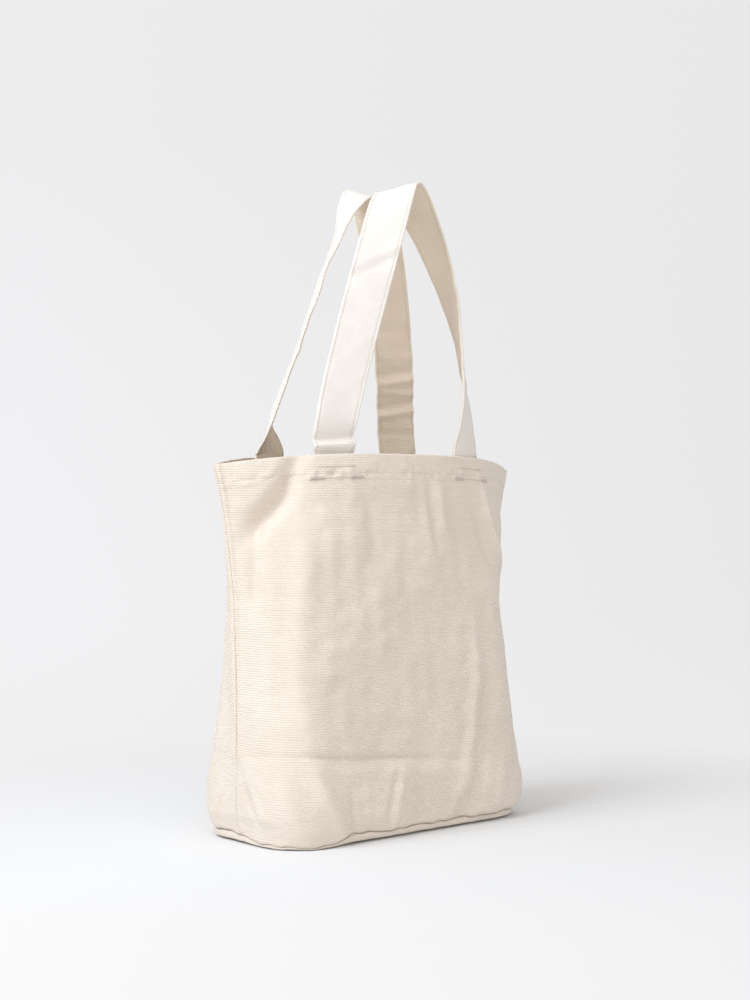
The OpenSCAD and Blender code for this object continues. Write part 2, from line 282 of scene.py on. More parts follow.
# How the soft corners sink in or stand out: place across the panel, heights, and mm at those heights
SAG_Z = [0.015, 0.030, 0.050, 0.080, 0.120, 0.165, 0.205, 0.250, 0.300]
FRONT_CORNERS = [
    (-0.74, SAG_Z, [0, 0, 0, -0.5, -1.5, -2, -2, -1, 0]),
    (0.74, SAG_Z, [4.5, 5, 0.5, -2, -3.8, -4.4, -4.6, 0, 1]),
]
BACK_CORNERS = [
    (0.74, SAG_Z, [0, 0, -1, -4.2, -7.0, -7.0, -4.6, -1.5, 0]),
    (-0.74, SAG_Z, [1, 1, 0, -2, -3.5, -4, -3, 0, 0]),
]


def line_distance(x, y, points):
    """Distance to a line through points, and the place along it from 0 to 1."""
    best = np.full(x.shape, 1e9)
    along = np.zeros(x.shape)
    lengths = [math.dist(a, b) for a, b in zip(points, points[1:])]
    done = 0.0
    for a, b, length in zip(points, points[1:], lengths):
        dx, dy = (b[0] - a[0]) / length, (b[1] - a[1]) / length
        t = np.clip((x - a[0]) * dx + (y - a[1]) * dy, 0, length)
        d = np.hypot(x - a[0] - dx * t, y - a[1] - dy * t)
        nearer = d < best
        best = np.where(nearer, d, best)
        along = np.where(nearer, (done + t) / sum(lengths), along)
        done += length
    return best, along


def cloth_relief(u, z, folds, corners, seed):
    """How far the cloth stands out of its smooth shape, in metres."""
    x = u * HALF_ARC
    total = np.zeros(x.shape)
    for height, half, points in folds:
        line = [(p * HALF_ARC, q * MM) for p, q in points]
        d, along = line_distance(x, z, line)
        total += height * MM * hump(d, 0, half * MM) * (1 - 0.75 * np.abs(2 * along - 1) ** 3)
    for where, heights, sags in corners:
        total += MM * hump(u, where, 0.17) * np.interp(z, heights, sags)
    calm = 1 - 0.7 * hump(np.abs(u), 0.75, 0.15)
    total += 1.2 * MM * hump(z, 0.044, 0.018) * (1 - np.abs(u) ** 4)
    total += 0.9 * MM * ripple(x, z, 0.070, seed) * calm
    total += 0.32 * MM * ripple(x, z, 0.024, seed + 1) * calm
    total += 0.8 * MM * ripple(x, z * 0.3, 0.036, seed + 2) * hump(z, WELT_H, 0.022)
    held_by_seam = np.abs(u) ** 10
    clear_of_hem = smooth((rim_z(u) - z) / (2 * HEM_H))
    return total * (1 - held_by_seam) * (0.45 + 0.55 * clear_of_hem)


# Height of the base seam round the bag: places from 0 (left seam) to 4, and mm above the welt's height
SEAM_WAVE = [
    (0, -1), (0.04, -3.2), (0.10, -4.4), (0.29, -4.6), (0.36, -7.0), (0.44, -7.0), (0.58, -1.8), (0.63, 0.3),
    (0.72, -0.3), (1.1, -0.8), (1.5, -0.6), (1.9, 0.4), (2.3, -0.8), (2.6, 0.2), (3.2, -0.5), (3.6, -1.5),
    (3.8, 0.6), (3.93, 1.2), (4, -1),
]


def foot_wave(around):
    """How the base seam rises and falls round the bag; around runs from 0 to 4."""
    a = around * math.pi / 2
    small = 0.4 * np.sin(7 * a + 2.0) + 0.4 * np.sin(13 * a) + 0.4 * np.sin(29 * a) + 0.35 * np.sin(47 * a)
    places, heights = zip(*SEAM_WAVE)
    return MM * np.maximum(np.interp(around, places, heights) + small, -7.2)


def panel_around(u, back):
    """Place round the bag, from 0 to 4, of a place across a panel."""
    return u + (3 if back else 1)


# ---- Meshes ----

def new_object(name, points, faces, cloth=None, paleness=None, inner=None):
    """A mesh object, with its place on the cloth, how much paler it is and its inner side as point values."""
    mesh = bpy.data.meshes.new(name)
    mesh.from_pydata(points.tolist(), [], faces)
    mesh.validate()
    mesh.update()
    mesh.shade_smooth()
    if cloth is not None:
        layer = mesh.attributes.new("cloth", "FLOAT_VECTOR", "POINT")
        flat = np.zeros((len(points), 3), np.float32)
        flat[:, :2] = cloth
        layer.data.foreach_set("vector", flat.ravel())
    for title, values in (("paleness", paleness), ("inner", inner)):
        if values is not None:
            layer = mesh.attributes.new(title, "FLOAT", "POINT")
            layer.data.foreach_set("value", np.asarray(values, np.float32).ravel())
    piece = bpy.data.objects.new(name, mesh)
    bpy.context.scene.collection.objects.link(piece)
    return piece


def signed_volume(points, faces):
    """Above 0 when the faces of a closed skin look outwards."""
    quads = np.array([f for f in faces if len(f) == 4])
    a, b, c, d = (points[quads[:, i]] for i in range(4))
    first = np.einsum("ij,ij->i", a, np.cross(b, c)).sum()
    return first + np.einsum("ij,ij->i", a, np.cross(c, d)).sum()


def loft(name, loops, cloth, paleness, caps="strip", closed=False, halves=False):
    """A closed skin over loops of points.

    Strip caps join the two halves of an end loop, and fan caps meet in its middle. With halves, the second
    half of each loop is the inner side of the cloth.
    """
    rows, count = loops.shape[:2]
    points = loops.reshape(-1, 3)
    cloth = cloth.reshape(-1, 2)
    paleness = paleness.reshape(-1)
    inner = np.tile(np.arange(count) >= count / 2, rows) if halves else None
    faces = []
    for i in range(rows if closed else rows - 1):
        near, far = i * count, (i + 1) % rows * count
        faces += [(near + j, near + (j + 1) % count, far + (j + 1) % count, far + j) for j in range(count)]
    ends = () if closed else ((0, True), ((rows - 1) * count, False))
    for start, flip in ends:
        if caps == "strip":
            last = start + count - 1
            cap = [(start + j, start + j + 1, last - 1 - j, last - j) for j in range(count // 2 - 1)]
        else:
            centre = len(points)
            ring = slice(start, start + count)
            points = np.vstack([points, points[ring].mean(0)])
            cloth = np.vstack([cloth, cloth[ring].mean(0)])
            paleness = np.append(paleness, paleness[start])
            cap = [(start + j, start + (j + 1) % count, centre) for j in range(count)]
        faces += [face[::-1] if flip else face for face in cap]
    if signed_volume(points, faces) < 0:
        faces = [f[::-1] for f in faces]
    return new_object(name, points, faces, cloth, paleness, inner)


THREAD_WRAP, THREAD_SKIP = 0.002, 0.011  # texture length round a thread, and from stitch to stitch


def stitch_mesh(name, centres, along, normal, length, radius, lift):
    """Short threads lying on a surface, one for each centre, each sunk at its two ends."""
    along = along / np.linalg.norm(along, axis=1)[:, None]
    side = np.cross(along, normal)
    side /= np.linalg.norm(side, axis=1)[:, None]
    normal = np.cross(side, along)
    stations = np.array([-0.5, -0.42, -0.22, 0.0, 0.22, 0.42, 0.5])
    girth = radius * np.array([0.45, 0.85, 1.0, 1.0, 1.0, 0.85, 0.45])
    rise = lift * (1 - (2 * stations) ** 2) - 0.5 * radius * (np.abs(stations) > 0.4)
    sides = 6
    ring = np.arange(sides) * 2 * math.pi / sides
    length = np.broadcast_to(length, (len(centres),))
    mids = centres[:, None] + along[:, None] * (stations[None, :, None] * length[:, None, None])
    mids = mids + normal[:, None] * rise[None, :, None]
    spokes = side[:, None] * np.cos(ring)[None, :, None] + normal[:, None] * np.sin(ring)[None, :, None]
    points = mids[:, :, None] + spokes[:, None] * girth[None, :, None, None]
    per = len(stations) * sides
    faces = []
    for base in range(0, len(centres) * per, per):
        for k in range(len(stations) - 1):
            for j in range(sides):
                a = base + k * sides + j
                b = base + k * sides + (j + 1) % sides
                faces.append((a, a + sides, b + sides, b))
        faces.append(tuple(base + j for j in range(sides)))
        faces.append(tuple(base + per - 1 - j for j in range(sides)))
    shape = (len(centres), len(stations), sides)
    turns = np.broadcast_to(ring / (2 * math.pi) * THREAD_WRAP, shape)
    runs = stations[None, :] * length[:, None] + np.arange(len(centres))[:, None] * THREAD_SKIP
    cloth = np.stack([turns, np.broadcast_to(runs[:, :, None], shape)], -1).reshape(-1, 2)
    return new_object(name, points.reshape(-1, 3), faces, cloth, np.zeros(len(cloth)))


# ---- Panels ----

def panel_rows():
    """Each row of a panel: its share of the way up to the hem, height above that and angle over the rim."""
    foot = np.array([0, 0.0006, 0.0013, 0.0022, 0.0034]) / (BAG_H - HEM_H - PANEL_FOOT)
    share = np.concatenate([foot, np.linspace(foot[-1], 1, 150)[1:]])
    hem = np.concatenate([
        [0.0004, 0.0009, 0.0016, 0.0028, 0.0040],
        HEM_H - HEM_ROW + np.array([-0.0012, -0.0007, 0, 0.0007, 0.0012]),
        np.linspace(0.0088, HEM_H - HEM_T / 2, 9),
    ])
    over = np.radians([18, 36, 54, 70, 82])
    shares = np.concatenate([share, np.ones(len(hem) + len(over))])
    heights = np.concatenate([np.zeros(len(share)), hem, HEM_H - HEM_T / 2 + HEM_T / 2 * np.sin(over)])
    angles = np.concatenate([np.zeros(len(share) + len(hem)), over])
    return shares[:, None], heights[:, None], angles[:, None]


def panel_relief(u, z, back):
    """The folds and sags of one panel."""
    if back:
        return cloth_relief(u, z, BACK_FOLDS, BACK_CORNERS, 41)
    return cloth_relief(u, z, FRONT_FOLDS, FRONT_CORNERS, 7)


def panel_face(u, z, back):
    """Outer face of a panel: relief, base seam, side seam and the dent of the hem stitching."""
    below = rim_z(u) - z
    edge = (1 - np.abs(u)) * HALF_ARC
    foot = z - PANEL_FOOT - foot_wave(panel_around(u, back))
    swell = 0.0008 * hump(z, 0.006, 0.009)
    turned_in = 0.0018 * np.exp(-np.maximum(foot, 0) / 0.0009)
    seam_line = 0.0010 * np.exp(-edge / 0.0010)
    seam_ridge = 0.0018 * hump(edge, 0.0036, 0.0019)
    pucker = 0.38 * MM * ripple(u * HALF_ARC, z, 0.012, 91 + back) * (1 - np.abs(u) ** 24)
    hem_band = smooth((HEM_H + 0.004 - below) / 0.006)
    stitch_dent = 0.00035 * hump(below, HEM_ROW, 0.0009)
    hem_line_dent = 0.00040 * hump(below, HEM_H + 0.0006, 0.0012)
    out = panel_relief(u, z, back) + swell - turned_in - seam_share(z) * (seam_line - seam_ridge)
    return out + hem_band * pucker * (0.3 + hump(below, HEM_ROW, 0.004)) - stitch_dent - hem_line_dent


def make_panel(name, back):
    """A panel's outer face, over the rim and down its inner face, as one closed skin."""
    columns = 250
    spread = np.linspace(-1, 1, columns + 1)  # the columns crowd towards the side seams
    u = (spread + 0.06 * np.sin(math.pi * spread) * np.abs(spread) ** 2)[None, :]
    u = np.sign(spread)[None, :] * np.minimum(np.abs(u), 1)
    u[0, 0], u[0, -1] = -1, 1
    shares, heights, angles = panel_rows()
    foot = PANEL_FOOT + foot_wave(panel_around(u, back))
    z = foot * (1 - shares) + (rim_z(u) - HEM_H) * shares + heights
    u = np.broadcast_to(u, z.shape)
    out = panel_face(u, z, back)
    radius = HEM_T / 2
    over = radius * (1 - np.cos(angles))  # how far the rim has turned in
    step = smooth((z - rim_z(u) + HEM_H) / 0.0011)
    dent = 0.0003 * hump(rim_z(u) - z, HEM_ROW, 0.0009)
    depth = CLOTH_T + (HEM_T - CLOTH_T) * step - over - dent
    outer, _ = panel_place(u, z, out - over, back)
    inner, _ = panel_place(u, z, out - depth, back)
    loops = np.concatenate([outer, inner[::-1]]).transpose(1, 0, 2)
    cloth = np.stack([u * HALF_ARC, z], -1)
    cloth = np.concatenate([cloth, cloth[::-1] + [0.7, 0.3]]).transpose(1, 0, 2)
    # Paler on the raised folds, along the rim and just above the foot, and less so on the inner side
    paler = np.clip(panel_relief(u, z, back) / 0.004, 0, 1) * 0.6
    paler = paler + np.exp(-(rim_z(u) - z) / 0.0016) * 0.9 + 0.5 * hump(z, 0.014, 0.008)
    paler = np.concatenate([paler, 0.3 * paler[::-1]]).T
    return loft(name, loops, cloth, paler, halves=True)


# ---- Base ----

def base_edge(count=320):
    """Points round the foot of the two panels, with outward ways and the place around from 0 to 4."""
    around = np.arange(count) * 4 / count
    u = np.where(around < 2, around - 1, around - 3)
    z = np.full(count, WELT_H)
    front, front_way = panel_place(u, z)
    back, back_way = panel_place(u, z, 0.0, True)
    here = (around < 2)[:, None]
    place, way = np.where(here, front, back), np.where(here, front_way, back_way)
    return place[:, :2], way[:, :2], around


def base_rings(profile):
    """Rings round the bag.

    The profile gives each ring's inset, height, share kept of its size and share of the seam's wave.
    """
    place, way, around = base_edge()
    wave = foot_wave(around)
    rings, cloths = [], []
    for inset, height, kept, waved in profile:
        flat = (place - way * inset) * kept
        rise = height * (1 + wave / PANEL_FOOT * waved)
        rings.append(np.column_stack([flat, np.maximum(rise, 0)]))
        cloths.append(flat * (1 + height / 0.07))
    return np.array(rings), np.array(cloths)


def make_base(name):
    """The base panel: its underside, its turned-up edge and its floor, as rings from middle to middle."""
    under = [(0, 0, k, 0) for k in (0.02, 0.15, 0.32, 0.50, 0.66, 0.78)]
    side = [
        (0.0150, 0.0002, 1, 0), (0.0080, 0.0008, 1, 0.3), (0.0040, 0.0014, 1, 0.6), (0.0020, 0.0019, 1, 0.8),
        (0.0010, 0.0025, 1, 1), (0.0005, 0.0034, 1, 1), (0.0003, 0.0047, 1, 1),
        (0.0005, 0.0060, 1, 1), (0.0009, 0.0070, 1, 1), (0.0018, 0.0077, 1, 1), (0.0026, 0.0079, 1, 1),
    ]
    inside = [
        (0.0034, 0.0076, 1, 1), (0.0038, 0.0058, 1, 0.6), (0.0048, 0.0044, 1, 0.2),
        (0.0080, 0.0034, 1, 0), (0.015, 0.0028, 1, 0),
    ]
    above = [(0, 0.0025, k, 0) for k in (0.78, 0.66, 0.50, 0.32, 0.15, 0.02)]
    rings, cloth = base_rings(under + side + inside + above)
    from_middle = np.hypot(rings[..., 0] / 0.13, rings[..., 1] / 0.06)
    unevenness = 0.0004 * np.abs(ripple(rings[..., 0], rings[..., 1], 0.05, 63))
    rings[..., 2] += unevenness * (from_middle < 1.08)
    # Paler round the base's turned-up edge
    paleness = 0.8 * hump(rings[..., 2], 0.003, 0.002) + 0.2
    return loft(name, rings, cloth + [0.2, 0.9], paleness, caps="fan")


# ---- Straps ----

# Creases across a strap: place along it in mm, height in mm, half width in mm and slant
FRONT_CREASES = [
    (55, 1.8, 11, 0.10), (38, -3.2, 4.4, 0.08), (31, 3.0, 3.0, 0.03), (24, -1.6, 3.0, 0), (205, -1.0, 6, 0.9),
    (216, 0.9, 7, 0.8), (180, 0.7, 10, -0.7), (120, 0.4, 9, -0.4), (305, 0.5, 10, 0.2), (430, -0.6, 8, -0.3),
    (520, 0.8, 6, 0.3), (560, -0.9, 5, -0.2), (640, 1.2, 4, 0.1), (652, -1.0, 4, 0.0),
]
REAR_CREASES = [
    (48, 0.6, 4, 0.1), (68, -1.5, 3.5, -0.1), (76, 1.4, 4, -0.1), (88, -1.1, 3.5, 0.15), (99, -1.5, 4, -0.1),
    (108, 1.3, 5, 0.0), (124, -0.8, 5, 0.1), (150, 0.6, 9, 0.2), (250, -0.5, 9, 0.5), (380, 0.6, 9, -0.4),
    (470, -0.7, 7, 0.3), (560, 0.8, 6, 0.2), (630, -1.0, 5, 0.1),
]


def route_points(route, steps=10):
    """A smooth curve through a strap's route, in metres and degrees."""
    keys = np.array(route, float) * [MM, MM, MM, 1, 1]
    keys = np.vstack([2 * keys[0] - keys[1], keys, 2 * keys[-1] - keys[-2]])
    spots = []
    for p0, p1, p2, p3 in zip(keys, keys[1:], keys[2:], keys[3:]):
        for t in np.arange(steps) / steps:
            curve = 2 * p1 + (p2 - p0) * t + (2 * p0 - 5 * p1 + 4 * p2 - p3) * t ** 2
            spots.append(0.5 * (curve + (3 * p1 - p0 - 3 * p2 + p3) * t ** 3))
    spots.append(keys[-2])
    return np.array(spots)


class Strap:
    """A flat strap from one sewn end to the other, with its creases."""

    def __init__(self, route, creases, seed):
        spots = route_points(route)
        for end in (0, -1):
            rows = np.repeat(spots[end][None], 11, 0)
            rows[:, 2] = np.linspace(STRAP_FOOT, spots[end][2], 12)[:-1]
            spots = np.vstack([rows, spots] if end == 0 else [spots, rows[::-1]])
        self.centre = spots[:, :3]
        ahead = np.gradient(self.centre, axis=0)
        self.ahead = ahead / np.linalg.norm(ahead, axis=1)[:, None]
        turn, tilt = np.radians(spots[:, 3]), np.radians(spots[:, 4])
        wide = np.stack([np.cos(turn), np.sin(turn), np.tan(tilt)], -1)
        wide -= (wide * self.ahead).sum(1)[:, None] * self.ahead
        self.wide = wide / np.linalg.norm(wide, axis=1)[:, None]
        self.out = np.cross(self.wide, self.ahead)
        steps = np.linalg.norm(np.diff(self.centre, axis=0), axis=1)
        self.run = np.concatenate([[0], np.cumsum(steps)])
        self.length = self.run[-1]
        self.creases = creases
        self.seed = seed

    def lift(self, run, across):
        """How far the strap's middle layer stands off its smooth route."""
        total = 0.35 * MM * ripple(run, across, 0.05, self.seed)
        total = total + 0.12 * MM * ripple(run, across, 0.014, self.seed + 1)
        total = total - 0.5 * MM * (across / (STRAP_W / 2)) ** 2
        for place, height, half, slant in self.creases:
            total = total + height * MM * hump(run - slant * across, place * MM, half * MM)
        loose = smooth((run - 0.0165) / 0.006) * smooth((self.length - run - 0.026) / 0.010)
        return total * loose

    def face(self, run, across, side):
        """A point on the strap's outer (side 1) or inner (side -1) face, and the ways out of it and ahead."""
        pick = lambda values: np.stack([np.interp(run, self.run, values[:, i]) for i in range(3)], -1)
        thick = strap_half_thickness(across)
        out = pick(self.out)
        place = pick(self.centre) + pick(self.wide) * across[..., None]
        place = place + out * (self.lift(run, across) + side * thick)[..., None]
        return place, out * side, pick(self.ahead)


def strap_half_thickness(across):
    """Half the strap's thickness: a dent under each row of stitches and rounded folded edges."""
    edge = STRAP_W / 2 - np.abs(across)
    full = STRAP_T / 2 - 0.00032 * hump(edge, STITCH_INSET, 0.0007) + 0.00010 * hump(edge, 0.0014, 0.0009)
    round_edge = np.sqrt(np.clip(1 - (1 - np.clip(edge / (STRAP_T / 2), 0, 1)) ** 2, 0.0025, 1))
    return full * round_edge


def make_strap(name, strap):
    """A strap's outer and inner faces with its two rounded edges, as one closed skin."""
    from_edge = [0, 0.12, 0.35, 0.75, 1.3, 1.9, 2.3, 2.65, 3.0, 3.35, 3.7, 4.3, 5.5, 7.5, 10, 13, 16.2]
    left = np.array(from_edge) * MM - STRAP_W / 2
    across = np.concatenate([left, [0], -left[::-1]])
    run = np.linspace(0, strap.length, 320)
    runs, acrosses = np.meshgrid(run, across, indexing="ij")
    outer, _, _ = strap.face(runs, acrosses, 1)
    inner, _, _ = strap.face(runs, acrosses, -1)
    loops = np.concatenate([outer, inner[:, ::-1]], 1)
    flat = np.stack([acrosses, runs], -1)
    cloth = np.concatenate([flat, flat[:, ::-1] + [0.11, 0.0]], 1)
    # Paler along the strap's folded edges
    paler = np.exp(-(STRAP_W / 2 - np.abs(acrosses)) / 0.0010)
    paler = np.concatenate([paler, paler[:, ::-1]], 1)
    return loft(name, loops, cloth, paler, halves=True)


def make_strap_thread(name, strap):
    """A row of stitches along both edges, on both faces."""
    pitch, length = 0.0031, 0.0026
    run = np.arange(pitch / 2, strap.length, pitch)
    parts = []
    for sign in (-1, 1):
        for side in (1, -1):
            across = np.full(run.shape, sign * (STRAP_W / 2 - STITCH_INSET))
            parts.append(strap.face(run, across, side))
    centres, ways, aheads = (np.concatenate(group) for group in zip(*parts))
    return stitch_mesh(name, centres, aheads, ways, length, 0.00032, 0.00018)


# ---- Stitching on the hem ----

AHEAD_U = 0.003  # how far ahead along the hem a stitch points


def hem_places(u, below, back):
    """Points of a panel's outer face at a depth below the rim, and their outward ways."""
    z = rim_z(u) - below
    return panel_place(u, z, panel_face(u, z, back), back)


def hem_spread(u0, u1, pitch):
    """Even places along the hem, about a pitch apart."""
    count = max(2, int(round((u1 - u0) * HALF_ARC / pitch)))
    return u0 + (np.arange(count) + 0.5) / count * (u1 - u0)


def hem_line(u0, u1, below, back, pitch):
    """Stitches along the outer face of the hem: places, ways ahead and outward ways."""
    u = hem_spread(u0, u1, pitch)
    place, way = hem_places(u, below, back)
    ahead, _ = hem_places(np.minimum(u + AHEAD_U, 1), below, back)
    return place, ahead - place, way


def hem_inside(u0, u1, below, back, pitch):
    """The same row on the inner face of the hem."""
    u = hem_spread(u0, u1, pitch)
    z = rim_z(u) - below
    out = panel_face(u, z, back) - HEM_T
    place, way = panel_place(u, z, out, back)
    ahead, _ = panel_place(np.minimum(u + AHEAD_U, 1), z, out, back)
    return place, ahead - place, -way


def make_hem_thread(name, back):
    row = (-HEM_ROW_END, HEM_ROW_END, HEM_ROW, back, 0.0032)
    rows = [hem_line(*row), hem_inside(*row)]
    centres, aheads, ways = (np.concatenate(group) for group in zip(*rows))
    return stitch_mesh(name, centres, aheads, ways, 0.0026, 0.00030, 0.00012)


def make_anchor_thread(name, sx, back, strap, at_start):
    """Two rows through the hem and a strap's end, the lower one closed by two bar tacks, on both faces."""
    mid = sx * ANCHOR_X / (MOUTH_W / 2)
    half = ANCHOR_ROW_W / MOUTH_W
    tack = TACK_W / (MOUTH_W / 2)
    rows = [
        (*hem_line(mid - half + tack, mid + half - tack, ANCHOR_LOW, back, ANCHOR_PITCH), ANCHOR_STITCH),
        (*hem_line(mid - half * 0.7, mid + half * 0.7, ANCHOR_HIGH, back, ANCHOR_PITCH), ANCHOR_STITCH),
    ]
    stroke = np.arange(TACK_STROKES)
    lean = np.where(stroke % 2 == 0, TACK_LEAN, -TACK_LEAN)
    for centre in (mid - half + tack / 2, mid + half - tack / 2):
        u = centre + (stroke / (TACK_STROKES - 1) - 0.5) * tack * 0.96
        foot, way = hem_places(u - lean, ANCHOR_LOW + TACK_H / 2, back)
        head, _ = hem_places(u + lean, ANCHOR_LOW - TACK_H / 2, back)
        rows.append(((foot + head) / 2, head - foot, way, TACK_H * 1.5))
    base_run, step = (0.0, 1) if at_start else (strap.length, -1)
    for below in (ANCHOR_LOW, ANCHOR_HIGH):
        run = base_run + step * (BAG_H - below - STRAP_FOOT)
        across = np.linspace(-1, 1, 12) * (STRAP_W / 2 - STITCH_INSET - 0.001)
        place, way, _ = strap.face(np.full(across.shape, run), across, -1)
        ahead, _, _ = strap.face(np.full(across.shape, run), across + MM, -1)
        rows.append((place, ahead - place, way, 0.0024))
    centres, aheads, ways = (np.concatenate(group) for group in list(zip(*rows))[:3])
    lengths = np.concatenate([np.full(len(row[0]), row[3]) for row in rows])
    return stitch_mesh(name, centres, aheads, ways, lengths, 0.00042, 0.00026)


# ---- Bindings inside the bag ----

TAPE_W = 0.011
TAPE_INSET = 2 * CLOTH_T + 0.0003 + 0.0016
SIDE_TAPE_TOP = BAG_H - RIM_DROP - HEM_H - CLOTH_T
TAPE_STITCH = (0.0024, 0.00028, 0.00015)  # length, radius and rise of a stitch on a tape


def tape_loop():
    """Cross-section of a folded tape: share of its width, and height off its middle in mm."""
    upper = [
        (0.0, 1.0), (0.12, 1.15), (0.3, 1.05), (0.5, 1.1), (0.66, 0.75), (0.7, 0.7), (0.74, 0.8),
        (0.88, 1.1), (0.97, 0.8),
    ]
    lower = [(x, -y) for x, y in upper[::-1]]
    return upper + lower


def side_tape_path(z, side):
    """How far out a side tape starts, and how it waves, at heights z."""
    start = np.interp(z, [WELT_H, BAG_H / 2, BAG_H], [0.0015, 0.0025, 0.0062])
    return np.interp(z, SEAM_Z, SEAM_X) - start, 0.0005 * ripple(z, 0 * z, 0.04, 71 + side)


def make_side_tape(name, side):
    z = np.linspace(WELT_H + TAPE_W, SIDE_TAPE_TOP, 120)
    reach, wave = side_tape_path(z, side)
    loops, flat = [], []
    for share, height in tape_loop():
        x = side * (reach - share * TAPE_W)
        y = height * MM * 0.85 + wave * share
        px, py = turned(x, y, z)
        loops.append(np.column_stack([px, py, z]))
        flat.append(np.column_stack([np.full(z.shape, share * TAPE_W + (0.02 if height < 0 else 0)), z]))
    loops = np.array(loops).transpose(1, 0, 2)
    flat = np.array(flat).transpose(1, 0, 2)
    return loft(name, loops, flat, np.full(loops.shape[:2], 0.2))


def make_side_tape_thread(name, side):
    z = np.arange(WELT_H + TAPE_W + 0.002, SIDE_TAPE_TOP - 0.002, 0.003)
    reach, wave = side_tape_path(z, side)
    parts = []
    for face in (-1, 1):
        x = side * (reach - 0.7 * TAPE_W)
        px, py = turned(x, face * 0.0006 + wave * 0.7, z)
        centre = np.column_stack([px, py, z])
        way = np.tile([0.0, float(face), 0.0], (len(z), 1))
        parts.append((centre, np.gradient(centre, axis=0), way))
    centres, aheads, ways = (np.concatenate(group) for group in zip(*parts))
    return stitch_mesh(name, centres, aheads, ways, *TAPE_STITCH)


def make_base_tape(name):
    """A flat ring of tape, standing on edge over the inner base seam."""
    low, high = 2 * CLOTH_T + 0.0004, WELT_H + TAPE_W / 2
    mid, half = (low + high) / 2, (high - low) / 2
    profile = []
    for angle in np.arange(16) * math.pi / 8:
        across = math.copysign(abs(math.cos(angle)) ** 0.35, math.cos(angle))
        up = math.copysign(abs(math.sin(angle)) ** 0.6, math.sin(angle))
        profile.append((TAPE_INSET + 0.00062 * (1 - across), mid + half * up, 1, 0.3))
    rings, cloth = base_rings(profile)
    cloth = cloth + np.array([p[1] for p in profile])[:, None, None]
    return loft(name, rings, cloth, np.full(rings.shape[:2], 0.2), closed=True)


def make_base_thread(name):
    place, way, _ = base_edge(290)
    height = np.full(len(place), WELT_H - 0.0034)
    centre = np.column_stack([place - way * (TAPE_INSET + 0.00122), height])
    ahead = np.roll(centre, -1, 0) - np.roll(centre, 1, 0)
    inward = np.column_stack([-way, np.zeros(len(way))])
    return stitch_mesh(name, centre, ahead, inward, *TAPE_STITCH)


# ---- Materials ----

class Nodes:
    """Short ways to add and join shader nodes."""

    def __init__(self, name):
        self.material = bpy.data.materials.new(name)
        self.material.use_nodes = True
        self.tree = self.material.node_tree
        self.shader = self.tree.nodes["Principled BSDF"]

    def add(self, kind, inputs=(), **settings):
        node = self.tree.nodes.new("ShaderNode" + kind)
        for key, value in settings.items():
            setattr(node, key, value)
        for key, value in dict(inputs).items():
            self.join(value, node.inputs[key])
        return node

    def join(self, value, socket):
        if isinstance(value, bpy.types.NodeSocket):
            self.tree.links.new(value, socket)
        else:
            socket.default_value = value

    def math(self, operation, a, b=0.0, c=0.0):
        return self.add("Math", {0: a, 1: b, 2: c}, operation=operation).outputs[0]

    def along(self, split, way):
        """How far a split-up place lies along a way over the floor."""
        return self.math("ADD", *(self.math("MULTIPLY", split.outputs[i], way[i]) for i in (0, 1)))

    def noise(self, vector, scale, detail=2.0, rough=0.5):
        inputs = {"Vector": vector, "Scale": scale, "Detail": detail, "Roughness": rough}
        return self.add("TexNoise", inputs).outputs["Fac"]

    def ramp(self, value, low, high):
        inputs = {"Value": value, "From Min": low, "From Max": high}
        return self.add("MapRange", inputs, clamp=True).outputs["Result"]

    def tinted(self, colour, share, tint):
        """The colour, multiplied by a tint where share is 1."""
        return self.mix(share, colour, self.mix(1.0, colour, (*tint, 1), "MULTIPLY"))

    def mix(self, share, a, b, blend="MIX"):
        node = self.add("Mix", data_type="RGBA", blend_type=blend)
        self.join(share, node.inputs[0])
        self.join(a, node.inputs[6])
        self.join(b, node.inputs[7])
        return node.outputs[2]


